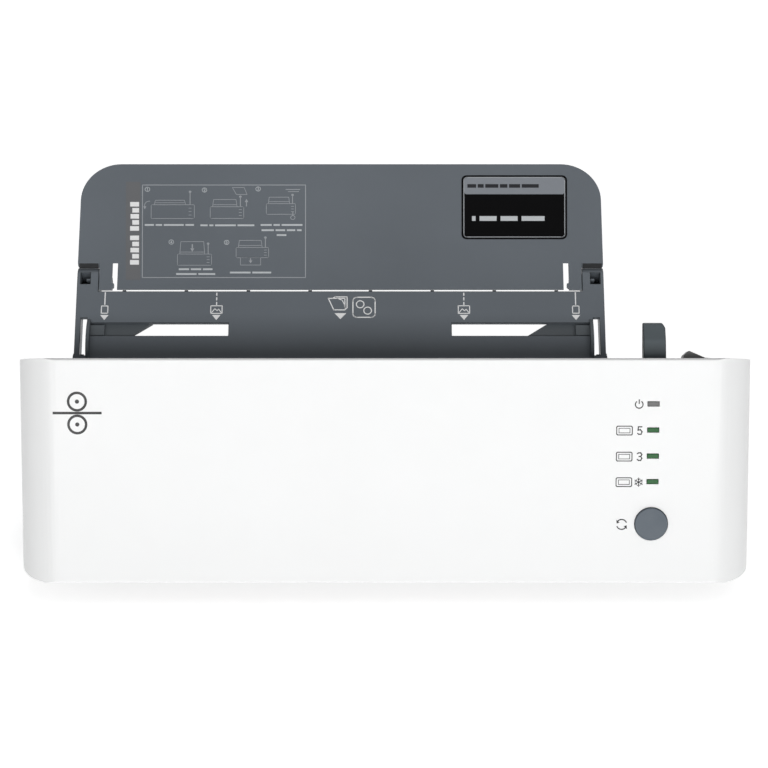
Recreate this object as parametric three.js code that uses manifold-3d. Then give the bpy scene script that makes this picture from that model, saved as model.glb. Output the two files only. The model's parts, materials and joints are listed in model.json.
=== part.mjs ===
// Pouch laminator for 9.5 inch pouches: white wedge front, dark deck with a folding
// two-panel feed tray, a pair of heated rollers, a geared motor and a jam release.
// Millimetres. +X to the user's right, +Y to the back, +Z up.
// Angled sub-assemblies are groups turned about X: inside each one, local Y runs
// along the panel and local Z stands off its outer face.
import * as THREE from 'three';
import { mergeVertices } from 'three/addons/utils/BufferGeometryUtils.js';
import Module from 'manifold-3d';

const wasm = await Module();
wasm.setup();

const DEG = Math.PI / 180;
const GAP = 0.3;

// Body: side profile and shell
const BODY_W = 350;
const FACE_FOOT = [-0.47, 10.47];
const FACE_LENGTH = 108.9;
const FACE_LEAN = 17 * DEG;
const DECK_SLOPE = 27 * DEG;
const REAR_Y = 106;
const PARTING_Y = 49.5;
const WALL = 2.5;
const FRONT_CORNER_R = 20;
const REAR_CORNER_R = 12;
const EDGE_R = 1.4;
const RIDGE = [
  FACE_FOOT[0] + FACE_LENGTH * Math.sin(FACE_LEAN),
  FACE_FOOT[1] + FACE_LENGTH * Math.cos(FACE_LEAN),
];

// Tray bay sunk into the deck
const TRAY_X = -22.2;
const BAY_HALF_W = 133;
const BAY_FRONT_Y = 36.8;
const BAY_REAR_Y = 95;
const BAY_DEPTH = 14;

// Paper path: a tilted plane through the roller nip
const PATH_NIP = [42, 54];
const PATH_PITCH = 45.7 * DEG;
const PATH_HALF_W = 124;
const THROAT_P = [28, 50];
const THROAT_Q = [-2.5, 7];

// Tray: the hinge axis, then sizes measured along the panel from it
const TRAY_HINGE = [82.7, 87.3];
const TRAY_LEAN = 46.5 * DEG;
const TRAY_HALF_W = 131;
const ARM_INNER = 120.3;
const PANEL_FRONT = 6;
const PANEL_T = 2.5;
const PANEL_BACK = PANEL_FRONT - PANEL_T;
const PANEL_FOOT = -10;
const PANEL_TOP = 37.3;
const FLAP_PIVOT_Y = 44.5;
const FLAP_PIVOT_Z = -1.5;
const ARM_BOSS_R = 7.95;
const EAR_R = 6;
const EAR_OUTER = 131.6;
const POCKET_X = [124.4, 129.3];
const POCKET_Y = [41.3, 47.6];
const TRAY_PIN_R = 2.5;
const FLAP_PIN_R = 2.2;
const FLAP_FOOT = -6.5;
const FLAP_SHOULDER = 6.5;
const SHOULDER_RISE = 1.6;
const FINGER_R = 3.4;
const FLAP_SLOT_X = [111, 113.7];
const FLAP_SLOT_TOP = 8;
const FLAP_TOP = 62.9;
const FLAP_CORNER_R = 20;
const EDGE_SLOPE = Math.tan(21.5 * DEG);
const RIB_X = [15, 45.7, 76.5, 107.3];
const RIB_W = 1.7;
const RIB_RISE = 0.4;
const STOP_TOP = -8.8;
const FOLD_ANGLE = 108 * DEG;

// Paper guides with their racks and pinion
const WINDOW_Y = [13.4, 20.3];
const WINDOW_X = [55.2, 126];
const BLADE_Y = [12.4, 21.2];
const BLADE_END_X = [-99.5, 96.3];
const BLADE_SLANT = 6.8;
const STRIP_X = [125.2, 128.3];
const STRIP_Y = [3, 23];
const GUIDE_Z = [0.8, 3.2];
const FENCE_X = [123.3, 125];
const FENCE_Y = [-2, 21.7];
const FENCE_TOP = 11.2;
const GEAR_MODULE = 1;
const PINION_TEETH = 16;
const PINION_Y = 16.4;
const COVER_HALF_W = 52;

// Rollers and drive
const ROLLER_R = 10;
const ROLLER_HALF_L = 123;
const SHAFT_R = 3;
const FRAME_X = 129;
const FRAME_T = 1.5;
const ROLLER_TEETH = 20;
const GEAR_X = [114, 121];
const MOTOR_YZ = [65, 38.5];
const MOTOR_R = 25;
const MOTOR_X = [124.5, 145];

// Release lever, its shaft and cams
const RELEASE_YZ = [44, 80];
const RELEASE_R = 2.5;
const LEVER_X = 129.7;
const LEVER_W = 10.8;
const LEVER_REACH = 43.4;
const LEVER_SLOT_Y = [21.8, 45.5];

// Front controls, measured from the ridge down the face
const CONTROL_X = 127;
const LED_DOWN = [21.9, 34.4, 46.9, 59.2];
const LED_SIZE = [5.2, 1.95];
const BUTTON_X = 126.6;
const BUTTON_DOWN = 79.6;
const BUTTON_R = 7.85;

// Power rocker on the deck
const ROCKER_X = 153.4;
const ROCKER_DOWN = 31;
const ROCKER_L = 20.6;
const ROCKER_W = 11;
const ROCKER_RISE = 4.35;
const ROCKER_DIP = 1.4;
const ROCKER_END = [1.9, 2.8];
const ROCKER_REST = 14 * DEG;

// Base and feet
const BASE_Z = [4, 6.5];
const BASE_Y = [19, 103];
const BASE_HALF_W = 168.5;
const FOOT_R = 7;
const GROMMET = [150, 26];

const COLOURS = {
  white: { color: 0xf2f3f3, roughness: 0.35, metalness: 0 },
  dark: { color: 0x5c6369, roughness: 0.5, metalness: 0 },
  tray: { color: 0x5f656b, roughness: 0.45, metalness: 0 },
  guide: { color: 0x53595f, roughness: 0.45, metalness: 0 },
  black: { color: 0x2b2d30, roughness: 0.5, metalness: 0 },
  rubber: { color: 0x26272a, roughness: 0.85, metalness: 0 },
  silicone: { color: 0x8a3a2c, roughness: 0.6, metalness: 0 },
  steel: { color: 0xb4b8bb, roughness: 0.35, metalness: 1 },
  aluminium: { color: 0xc3c6c9, roughness: 0.4, metalness: 1 },
  nylon: { color: 0xe3e0d6, roughness: 0.5, metalness: 0 },
  lens: { color: 0x486e4e, roughness: 0.2, metalness: 0 },
  lensOff: { color: 0x7e7e7e, roughness: 0.2, metalness: 0 },
  board: { color: 0x2f5c3a, roughness: 0.5, metalness: 0 },
  ceramic: { color: 0xd9d3c4, roughness: 0.6, metalness: 0 },
};

// ---- helpers -------------------------------------------------------------

function solidOf(geometry) {
  const bare = geometry.clone();
  bare.deleteAttribute('normal');
  bare.deleteAttribute('uv');
  const merged = mergeVertices(bare, 1e-4);
  const vertProperties = new Float32Array(merged.attributes.position.array);
  const triVerts = new Uint32Array(merged.index.array);
  return new wasm.Manifold(new wasm.Mesh({ numProp: 3, vertProperties, triVerts }));
}

function geometryOf(solid) {
  const { vertProperties, triVerts } = solid.getMesh();
  const geometry = new THREE.BufferGeometry();
  geometry.setAttribute('position', new THREE.BufferAttribute(vertProperties, 3));
  geometry.setIndex(new THREE.BufferAttribute(triVerts, 1));
  geometry.computeVertexNormals();
  return geometry;
}

function join(...solids) {
  return solids.reduce((whole, solid) => whole.add(solid));
}

// A closed outline; each corner is rounded by its own radius (third number).
function outline(points) {
  const corners = points.map(([a, b, r = 0]) => ({ at: new THREE.Vector2(a, b), r }));
  const shape = new THREE.Shape();
  corners.forEach(({ at, r }, i) => {
    const before = corners[(i + corners.length - 1) % corners.length].at;
    const after = corners[(i + 1) % corners.length].at;
    const into = before.clone().sub(at).normalize();
    const away = after.clone().sub(at).normalize();
    const cut = r / Math.tan(Math.acos(into.dot(away)) / 2);
    const start = at.clone().addScaledVector(into, cut);
    const end = at.clone().addScaledVector(away, cut);
    if (i === 0) shape.moveTo(start.x, start.y);
    else shape.lineTo(start.x, start.y);
    if (r > 0) {
      const inward = into.clone().add(away).normalize();
      const centre = at.clone().addScaledVector(inward, Math.hypot(cut, r));
      const from = Math.atan2(start.y - centre.y, start.x - centre.x);
      const to = Math.atan2(end.y - centre.y, end.x - centre.x);
      const clockwise = into.x * away.y - into.y * away.x > 0;
      shape.absarc(centre.x, centre.y, r, from, to, clockwise);
    }
  });
  return shape;
}

function circle(a, b, r) {
  return new THREE.Shape().absarc(a, b, r, 0, 2 * Math.PI);
}

// Extrudes a shape drawn in two named axes along the third, from low to high.
const AXES = {
  x: [new THREE.Vector3(0, 1, 0), new THREE.Vector3(0, 0, 1), new THREE.Vector3(1, 0, 0)],
  y: [new THREE.Vector3(0, 0, 1), new THREE.Vector3(1, 0, 0), new THREE.Vector3(0, 1, 0)],
  z: [new THREE.Vector3(1, 0, 0), new THREE.Vector3(0, 1, 0), new THREE.Vector3(0, 0, 1)],
};

function slab(along, shape, [low, high], curveSegments = 6) {
  const settings = { depth: high - low, bevelEnabled: false, curveSegments };
  const geometry = new THREE.ExtrudeGeometry(shape, settings);
  geometry.translate(0, 0, low);
  geometry.applyMatrix4(new THREE.Matrix4().makeBasis(...AXES[along]));
  return solidOf(geometry);
}

function rod(x, [y, z], r, segments = 6) {
  return slab('x', circle(y, z, r), x, segments);
}

function block([x0, x1], [y0, y1], [z0, z1]) {
  const geometry = new THREE.BoxGeometry(x1 - x0, y1 - y0, z1 - z0);
  geometry.translate((x0 + x1) / 2, (y0 + y1) / 2, (z0 + z1) / 2);
  return solidOf(geometry);
}

function tilted([y, z], turn, x = 0) {
  const group = new THREE.Group();
  group.position.set(x, y, z);
  group.rotation.x = turn;
  group.updateMatrix();
  return group;
}

function inFrame(solid, group) {
  return solidOf(geometryOf(solid).applyMatrix4(group.matrix));
}

function span(centre, half) {
  return [centre - half, centre + half];
}

function mirrored([low, high], side) {
  return side < 0 ? [-high, -low] : [low, high];
}

function add(parent, name, solid, look) {
  const mesh = new THREE.Mesh(geometryOf(solid), new THREE.MeshStandardMaterial(COLOURS[look]));
  mesh.name = name;
  parent.add(mesh);
  return mesh;
}

function meet([ay, az], [aDy, aDz], [by, bz], [bDy, bDz]) {
  const k = ((by - ay) * bDz - (bz - az) * bDy) / (aDy * bDz - aDz * bDy);
  return [ay + k * aDy, az + k * aDz];
}

// Spur gear outline with slim straight-sided teeth; phase is in tooth pitches.
function gearShape(teeth, [a, b], phase) {
  const pitchR = GEAR_MODULE * teeth / 2;
  const step = 2 * Math.PI / teeth;
  const profile = [[-0.3, -1.2], [-0.12, 0.8], [0.12, 0.8], [0.3, -1.2]];
  const shape = new THREE.Shape();
  for (let i = 0; i < teeth; i += 1) {
    profile.forEach(([turn, rise], k) => {
      const angle = (i + phase + turn) * step;
      const r = pitchR + rise * GEAR_MODULE;
      const point = [a + r * Math.cos(angle), b + r * Math.sin(angle)];
      if (i === 0 && k === 0) shape.moveTo(...point);
      else shape.lineTo(...point);
    });
  }
  return shape;
}

const laminator = new THREE.Group();
const face = tilted(FACE_FOOT, Math.PI / 2 - FACE_LEAN);
const deck = tilted(RIDGE, -DECK_SLOPE);
const path = tilted(PATH_NIP, PATH_PITCH, TRAY_X);
const tray = tilted(TRAY_HINGE, Math.PI / 2 - TRAY_LEAN, TRAY_X);
const flap = tilted([FLAP_PIVOT_Y, FLAP_PIVOT_Z], 0);
tray.add(flap);
laminator.add(face, deck, path, tray);

// ---- covers --------------------------------------------------------------

const FACE_UP = [Math.sin(FACE_LEAN), Math.cos(FACE_LEAN)];
const DECK_BACK = [Math.cos(DECK_SLOPE), -Math.sin(DECK_SLOPE)];

function onFaceLine(inset) {
  return [FACE_FOOT[0] + inset * FACE_UP[1], FACE_FOOT[1] - inset * FACE_UP[0]];
}

function onDeckLine(inset) {
  return [RIDGE[0] + inset * DECK_BACK[1], RIDGE[1] - inset * DECK_BACK[0]];
}

function bodySolid(inset, footZ) {
  const edge = inset > 0 ? 0 : EDGE_R;
  const rearY = REAR_Y - inset;
  const foot = meet(onFaceLine(inset), FACE_UP, [0, footZ], [1, 0]);
  const ridge = meet(onFaceLine(inset), FACE_UP, onDeckLine(inset), DECK_BACK);
  const rear = meet(onDeckLine(inset), DECK_BACK, [rearY, 0], [0, 1]);
  const profile = outline([[...foot, edge], [rearY, footZ], [...rear, 2 * edge], [...ridge, edge]]);
  const halfW = BODY_W / 2 - inset;
  const reach = 200;
  const frontR = FRONT_CORNER_R - inset;
  const rearR = REAR_CORNER_R - inset;
  const cheeks = outline([[-halfW, -reach], [halfW, -reach], [halfW, -inset, frontR],
    [-halfW, -inset, frontR]]);
  const tail = outline([[-halfW, -reach], [halfW, -reach], [halfW, rearY, rearR], [-halfW, rearY, rearR]]);
  return slab('x', profile, [-halfW, halfW])
    .intersect(inFrame(slab('y', flipped(cheeks), [-reach, reach]), face))
    .intersect(slab('z', tail, [-10, reach]));
}

// The 'y' slab is drawn with Z across and X up, so an (x, z) outline is swapped.
function flipped(shape) {
  return new THREE.Shape(shape.getPoints(8).map(({ x, y }) => new THREE.Vector2(y, x)));
}

const shell = bodySolid(0, FACE_FOOT[1]).subtract(bodySolid(WALL, FACE_FOOT[1] - 10));

function frontCover() {
  const half = block([-200, 200], [-50, PARTING_Y - GAP / 2], [-10, 200]);
  const through = [-10, 10];
  const leds = LED_DOWN.map((down) => block(
    span(CONTROL_X, LED_SIZE[0] / 2 + GAP),
    span(FACE_LENGTH - down, LED_SIZE[1] / 2 + GAP), through));
  const buttonHole = slab('z', circle(BUTTON_X, FACE_LENGTH - BUTTON_DOWN, BUTTON_R + GAP), through, 12);
  const tubRoom = slab('x', bayProfile(WALL + GAP), span(TRAY_X, BAY_HALF_W + WALL + GAP));
  return shell.intersect(half).subtract(inFrame(join(...leds, buttonHole), face)).subtract(tubRoom);
}

function bayProfile(grow) {
  const frontY = BAY_FRONT_Y - grow;
  const rearY = BAY_REAR_Y + grow;
  const floor = onDeckLine(BAY_DEPTH + grow);
  const frontFloor = meet(floor, DECK_BACK, [frontY, 0], [0, 1]);
  const rearFloor = meet(floor, DECK_BACK, [rearY, 0], [0, 1]);
  return outline([frontFloor, rearFloor, [rearY, 200], [frontY, 200]]);
}

function rearCover() {
  const half = block([-200, 200], [PARTING_Y + GAP / 2, 200], [-10, 200]);
  const bayX = span(TRAY_X, BAY_HALF_W);
  const tub = slab('x', bayProfile(WALL), [bayX[0] - WALL, bayX[1] + WALL])
    .intersect(bodySolid(0.1, FACE_FOOT[1]));
  const cavity = slab('x', bayProfile(0), bayX);
  const throat = inFrame(block([-PATH_HALF_W, PATH_HALF_W], THROAT_P, THROAT_Q), path);
  const leverSlot = block(span(LEVER_X, LEVER_W / 2 + 0.8), LEVER_SLOT_Y, [-9, 5]);
  const rockerHole = block(
    span(ROCKER_X, ROCKER_L / 2 + 0.9),
    span(ROCKER_DOWN, ROCKER_W / 2 + 1.3), [-9, 5]);
  const pinHoles = rod([-200, 200], TRAY_HINGE, TRAY_PIN_R + GAP)
    .intersect(block([TRAY_X - 137, TRAY_X + 137], [0, 200], [0, 200]));
  const inlet = slab('y', circle(GROMMET[1], GROMMET[0], 6.3), [REAR_Y - 8, REAR_Y + 5], 8);
  return shell.intersect(half).add(tub).subtract(cavity)
    .subtract(throat)
    .subtract(inFrame(leverSlot, deck))
    .subtract(inFrame(rockerHole, deck))
    .subtract(pinHoles)
    .subtract(inlet)
    .subtract(rearVents())
    .subtract(bossRelief())
    .add(trayStops());
}

function rearVents() {
  const count = 14;
  const pitch = 12;
  const slots = [];
  for (let i = 0; i < count; i += 1) {
    const x = TRAY_X + (i - (count - 1) / 2) * pitch;
    slots.push(block(span(x, 2), [REAR_Y - 6, REAR_Y + 2], [30, 48]));
  }
  return join(...slots);
}

// Notches in the bay's front wall for the arms' bosses when the tray is folded down.
function bossRelief() {
  const dip = FOLD_ANGLE - TRAY_LEAN;
  const y = TRAY_HINGE[0] - FLAP_PIVOT_Y * Math.sin(dip) - FLAP_PIVOT_Z * Math.cos(dip);
  const z = TRAY_HINGE[1] + FLAP_PIVOT_Y * Math.cos(dip) - FLAP_PIVOT_Z * Math.sin(dip);
  const r = ARM_BOSS_R + 0.4;
  const notches = [-1, 1].map((side) => {
    const [low, high] = mirrored([ARM_INNER - 0.6, TRAY_HALF_W + 0.6], side);
    const x = [low + TRAY_X, high + TRAY_X];
    return rod(x, [y, z], r, 9).add(block(x, [y - r, y], [z, z + 30]));
  });
  return join(...notches);
}

// Lugs on the bay floor that the tray's heels lean on when it is up. Their backs slope
// so that the folded tray lies just above them.
function trayStops() {
  const front = PANEL_FRONT + GAP;
  const rise = 8;
  const crown = [STOP_TOP + rise * Math.cos(FOLD_ANGLE), front + rise * Math.sin(FOLD_ANGLE)];
  const heel = outline([[-17, front], [STOP_TOP, front], crown, [-17, 15]]);
  const bay = slab('x', bayProfile(WALL / 2), [-200, 200]);
  const lugs = [-1, 1].map((side) => inFrame(slab('x', heel, mirrored([125, 133.5], side)), tray));
  return join(...lugs).intersect(bay);
}

add(laminator, 'front_cover', frontCover(), 'white');
add(laminator, 'rear_cover', rearCover(), 'dark');

// ---- base ----------------------------------------------------------------

function baseTray() {
  const halfW = BASE_HALF_W;
  const plan = outline([[-halfW, BASE_Y[0], 6], [halfW, BASE_Y[0], 6], [halfW, BASE_Y[1], 9],
    [-halfW, BASE_Y[1], 9]]);
  const innerW = halfW - 2;
  const hollow = outline([[-innerW, BASE_Y[0] - 5], [innerW, BASE_Y[0] - 5],
    [innerW, BASE_Y[1] - 2, 7], [-innerW, BASE_Y[1] - 2, 7]]);
  const rimTop = 15;
  return slab('z', plan, [BASE_Z[0], rimTop]).subtract(slab('z', hollow, [BASE_Z[1], 30]));
}

function foot(x, y) {
  const profile = [[0, 0], [FOOT_R - 1, 0], [FOOT_R, 1], [FOOT_R, BASE_Z[0] - GAP], [0, BASE_Z[0] - GAP]];
  const points = profile.map(([r, z]) => new THREE.Vector2(r, z));
  const geometry = new THREE.LatheGeometry(points, 20);
  geometry.rotateX(Math.PI / 2);
  return solidOf(geometry.translate(x, y, 0));
}

add(laminator, 'base_tray', baseTray(), 'black');
[[-150, 38], [150, 38], [-150, 92], [150, 92]].forEach(([x, y], i) => {
  add(laminator, `foot_${i + 1}`, foot(x, y), 'rubber');
});

// ---- side frames and rollers ---------------------------------------------

const LOWER_ROLLER = [0, -ROLLER_R];
const UPPER_ROLLER = [0, ROLLER_R];
const WINDOW_P = 7.3;
const WINDOW_Q = [3.2, 24];
const CARRIER_TOP = 17;

function releaseInPath() {
  const dy = RELEASE_YZ[0] - PATH_NIP[0];
  const dz = RELEASE_YZ[1] - PATH_NIP[1];
  const c = Math.cos(PATH_PITCH);
  const s = Math.sin(PATH_PITCH);
  return [dy * c + dz * s, dz * c - dy * s];
}

const RELEASE_PQ = releaseInPath();

// A steel cheek plate: straight foot on the base, cut back under the sloping bay.
function sideFrame(side) {
  const top = onDeckLine(BAY_DEPTH + WALL + 1.5);
  const underBay = (y) => meet(top, DECK_BACK, [y, 0], [0, 1]);
  const foot = BASE_Z[1] + GAP;
  const plate = outline([[26, foot, 2], [92, foot, 2], [...underBay(92), 2], [...underBay(40), 3],
    [29, 72, 3]]);
  const x = mirrored([FRAME_X, FRAME_X + FRAME_T], side);
  const worldX = [x[0] + TRAY_X, x[1] + TRAY_X];
  const cuts = join(
    block([x[0] - 5, x[1] + 5], span(0, WINDOW_P), WINDOW_Q),
    rod([x[0] - 5, x[1] + 5], LOWER_ROLLER, 5.3, 8),
    rod([x[0] - 5, x[1] + 5], RELEASE_PQ, RELEASE_R + GAP, 8));
  return slab('x', plate, worldX).subtract(inFrame(cuts, path)).subtract(throatRelief(worldX));
}

// The cheek plates leave the mouth of the paper path open.
function throatRelief([x0, x1]) {
  return inFrame(block([x0 - TRAY_X - 2, x1 - TRAY_X + 2], [26, 60], [-3, 8]), path);
}

function sleeve(centre) {
  return rod(span(0, ROLLER_HALF_L), centre, ROLLER_R - 0.15, 9)
    .subtract(rod(span(0, ROLLER_HALF_L + 1), centre, SHAFT_R + GAP, 4));
}

function rollerShaft(centre) {
  return rod([-FRAME_X - 5.5, GEAR_X[1] - TRAY_X + 1], centre, SHAFT_R, 4);
}

// Flanged bush pressed into a cheek plate.
function bush(side) {
  const body = rod(mirrored([FRAME_X - 1.2, FRAME_X + 4], side), LOWER_ROLLER, 5, 6);
  const flange = rod(mirrored([FRAME_X - 2.6, FRAME_X - GAP], side), LOWER_ROLLER, 7, 6);
  const bore = rod(mirrored([FRAME_X - 6, FRAME_X + 8], side), LOWER_ROLLER, SHAFT_R + 0.25, 4);
  return body.add(flange).subtract(bore);
}

// Bearing block that slides in the cheek plate's window, with an arm up to the cam.
function carrier(side) {
  const body = block(mirrored([FRAME_X - 3, FRAME_X + 4], side), span(0, WINDOW_P - GAP),
    [WINDOW_Q[0] + GAP, CARRIER_TOP]);
  const armX = mirrored([FRAME_X + FRAME_T + 0.6, FRAME_X + 4], side);
  const arm = slab('x', outline([[-6, 15], [7, 15], [7, 20], [26, 21.4], [26, 25], [2, 25], [-6, 20]]), armX);
  const bore = rod(mirrored([FRAME_X - 6, FRAME_X + 8], side), UPPER_ROLLER, SHAFT_R + 0.25, 4);
  return body.add(arm).subtract(bore);
}

class Helix extends THREE.Curve {
  constructor(centre, radius, from, to, turns) {
    super();
    Object.assign(this, { centre, radius, from, to, turns });
  }

  getPoint(t) {
    const angle = 2 * Math.PI * this.turns * t;
    const [x, y] = this.centre;
    const z = this.from + (this.to - this.from) * t;
    return new THREE.Vector3(x + this.radius * Math.cos(angle), y + this.radius * Math.sin(angle), z);
  }
}

function coilSpring(side) {
  const wire = 0.45;
  const low = CARRIER_TOP + GAP + wire;
  const curve = new Helix([side * (FRAME_X - 0.4), 0], 1.6, low, WINDOW_Q[1] - GAP - wire, 4);
  const settings = { steps: 48, extrudePath: curve, curveSegments: 2 };
  return solidOf(new THREE.ExtrudeGeometry(circle(0, 0, wire), settings));
}

function rollerGear(centre, phase) {
  const x = [GEAR_X[0] - TRAY_X, GEAR_X[1] - TRAY_X];
  return slab('x', gearShape(ROLLER_TEETH, centre, phase), x)
    .subtract(rod([x[0] - 1, x[1] + 1], centre, SHAFT_R + GAP, 4));
}

['left', 'right'].forEach((name, i) => {
  const side = 2 * i - 1;
  add(laminator, `side_frame_${name}`, sideFrame(side), 'steel');
  add(path, `roller_bush_${name}`, bush(side), 'nylon');
  add(path, `roller_carrier_${name}`, carrier(side), 'nylon');
  add(path, `pressure_spring_${name}`, coilSpring(side), 'steel');
});
add(path, 'lower_roller_sleeve', sleeve(LOWER_ROLLER), 'silicone');
add(path, 'lower_roller_shaft', rollerShaft(LOWER_ROLLER), 'steel');
add(path, 'upper_roller_sleeve', sleeve(UPPER_ROLLER), 'silicone');
add(path, 'upper_roller_shaft', rollerShaft(UPPER_ROLLER), 'steel');
add(path, 'lower_roller_gear', rollerGear(LOWER_ROLLER, 0.5), 'nylon');
add(path, 'upper_roller_gear', rollerGear(UPPER_ROLLER, 0), 'nylon');

// ---- motor ---------------------------------------------------------------

function lowerRollerYZ() {
  return [PATH_NIP[0] + ROLLER_R * Math.sin(PATH_PITCH), PATH_NIP[1] - ROLLER_R * Math.cos(PATH_PITCH)];
}

// Turns the pinion so that one of its gaps faces a tooth of the roller gear.
function pinionPhase() {
  const [y, z] = lowerRollerYZ();
  const towards = Math.atan2(MOTOR_YZ[1] - z, MOTOR_YZ[0] - y);
  const gearTurn = (towards - PATH_PITCH) * ROLLER_TEETH / (2 * Math.PI) - 0.5;
  const pinionTurn = (towards + Math.PI) * PINION_TEETH / (2 * Math.PI);
  return pinionTurn + 0.5 + gearTurn;
}

function motor() {
  const can = rod(MOTOR_X, MOTOR_YZ, MOTOR_R, 10);
  const spigot = rod([MOTOR_X[0] - 1, MOTOR_X[0] + 1], MOTOR_YZ, 6, 6);
  return can.add(spigot).subtract(rod([MOTOR_X[0] - 2, MOTOR_X[0] + 12], MOTOR_YZ, 2.8, 5));
}

function motorPinion() {
  const gear = slab('x', gearShape(PINION_TEETH, MOTOR_YZ, pinionPhase()), GEAR_X);
  return gear.add(rod([GEAR_X[1] - 1, MOTOR_X[0] + 10], MOTOR_YZ, 2.5, 5));
}

function motorBracket() {
  const foot = BASE_Z[1] + GAP;
  const plate = outline([[40, foot, 2], [94, foot, 2], [94, 60, 4], [40, 60, 4]]);
  const x = [MOTOR_X[0] - GAP - FRAME_T, MOTOR_X[0] - GAP];
  const flange = block([x[0], x[1] + 22], [40, 94], [foot, foot + FRAME_T]);
  return slab('x', plate, x).add(flange)
    .subtract(rod([x[0] - 1, x[1] + 1], MOTOR_YZ, 6 + GAP, 6));
}

add(laminator, 'motor', motor(), 'steel');
add(laminator, 'motor_pinion', motorPinion(), 'nylon');
add(laminator, 'motor_bracket', motorBracket(), 'steel');

// ---- heaters and paper guides inside --------------------------------------

const GUIDE_SPAN = span(0, PATH_HALF_W);

function heaterPlate(side) {
  const near = side > 0 ? 5.2 : -2.8;
  const far = near + side * 2;
  const lip = near + side * -2;
  const lipBack = lip + side * 1.6;
  const plate = outline([[12.5, lip], [16, near], [25, near], [25, far], [15.4, far], [12.5, lipBack]]);
  return slab('x', plate, GUIDE_SPAN);
}

function inputGuide(side) {
  const top = side > 0 ? 31 : 34.4;
  const near = side > 0 ? 6 : -2.8;
  const plate = outline([[25.6, near], [top, near + side * 0.8], [top, near + side * 2.4],
    [25.6, near + side * 2]]);
  return slab('x', plate, GUIDE_SPAN);
}

function exitGuide() {
  const line = [[37.5, 42], [24, 21], [15.5, 9.5], [12.5, 7.4]];
  const under = [[13.6, 6.8], [17.6, 8.4], [26, 20.2], [39.2, 41.2]];
  return slab('x', outline([...line, ...under]), span(TRAY_X, PATH_HALF_W));
}

add(path, 'heater_plate_front', heaterPlate(1), 'aluminium');
add(path, 'heater_plate_rear', heaterPlate(-1), 'aluminium');
add(path, 'input_guide_front', inputGuide(1), 'black');
add(path, 'input_guide_rear', inputGuide(-1), 'black');
add(laminator, 'exit_guide', exitGuide(), 'black');
add(path, 'thermostat', slab('z', circle(60, 20, 4.6), [-9.5, -5.1], 6), 'ceramic');
add(path, 'thermal_fuse', rod([10, 32], [20, -7.1], 1.7, 3), 'ceramic');

// ---- release lever ---------------------------------------------------------

function leverArm() {
  const turn = tilted(RELEASE_YZ, -DECK_SLOPE);
  const x = span(LEVER_X, LEVER_W / 2);
  const tab = outline([[-3.6, 0], [3.6, 0], [4.2, 24], [4.6, 32], [3.6, LEVER_REACH, 1.2],
    [0.2, LEVER_REACH, 2.6], [-3.4, 35, 6], [-4.2, 27]]);
  const hub = circle(0, 0, 5.5);
  const arm = slab('x', tab, x).add(slab('x', hub, x, 8))
    .subtract(rod([x[0] - 1, x[1] + 1], [0, 0], RELEASE_R + GAP, 5));
  const [, outer] = x;
  const corner = outline([[LEVER_REACH, outer - 1.4], [LEVER_REACH + 1, outer - 2],
    [LEVER_REACH + 1, outer + 1], [LEVER_REACH - 2.6, outer + 1], [LEVER_REACH - 2.6, outer]]);
  return inFrame(arm.subtract(slab('y', corner, [-20, 20])), turn);
}

function releaseCam(side) {
  const [p, q] = RELEASE_PQ;
  const x = mirrored([FRAME_X + FRAME_T + 0.6, FRAME_X + 4], side);
  const lobe = outline([[p - 4, q - 3, 2], [p + 5.2, q - 3, 2], [p + 5.2, q + 2.2, 2], [p - 4, q + 3.4, 2]]);
  return slab('x', lobe, x).subtract(rod([x[0] - 1, x[1] + 1], RELEASE_PQ, RELEASE_R + GAP, 5));
}

add(laminator, 'release_lever', leverArm(), 'dark');
add(laminator, 'release_shaft', rod([TRAY_X - FRAME_X - 6, LEVER_X + 8], RELEASE_YZ, RELEASE_R, 5), 'steel');
add(path, 'release_cam_left', releaseCam(-1), 'nylon');
add(path, 'release_cam_right', releaseCam(1), 'nylon');

// ---- front controls --------------------------------------------------------

function ledWindow(down) {
  return block(span(CONTROL_X, LED_SIZE[0] / 2), span(FACE_LENGTH - down, LED_SIZE[1] / 2), [-6.2, 0.2]);
}

function button() {
  const y = FACE_LENGTH - BUTTON_DOWN;
  const cap = slab('z', circle(BUTTON_X, y, BUTTON_R), [-2, 1.2], 12);
  const flange = slab('z', circle(BUTTON_X, y, BUTTON_R + 1.4), [-4.4, -2 - 1.8], 12);
  const neck = slab('z', circle(BUTTON_X, y, BUTTON_R - 0.4), [-4, -1.9], 12);
  return join(cap, neck, flange);
}

const BOARD_Z = [-8, -6.5];
add(face, 'power_led_window', ledWindow(LED_DOWN[0]), 'lensOff');
LED_DOWN.slice(1).forEach((down, i) => add(face, `mode_led_window_${i + 1}`, ledWindow(down), 'lens'));
add(face, 'setting_button', button(), 'dark');
add(face, 'control_board', block([122.5, 140], [FACE_LENGTH - 92, FACE_LENGTH - 14], BOARD_Z), 'board');
add(face, 'tact_switch', block(span(BUTTON_X, 2.2), span(FACE_LENGTH - BUTTON_DOWN, 2.2),
  [BOARD_Z[1] + GAP / 2, -5.65]), 'black');

// ---- power rocker ----------------------------------------------------------

const ROCKER_AXIS_Z = -1.5;

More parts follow.
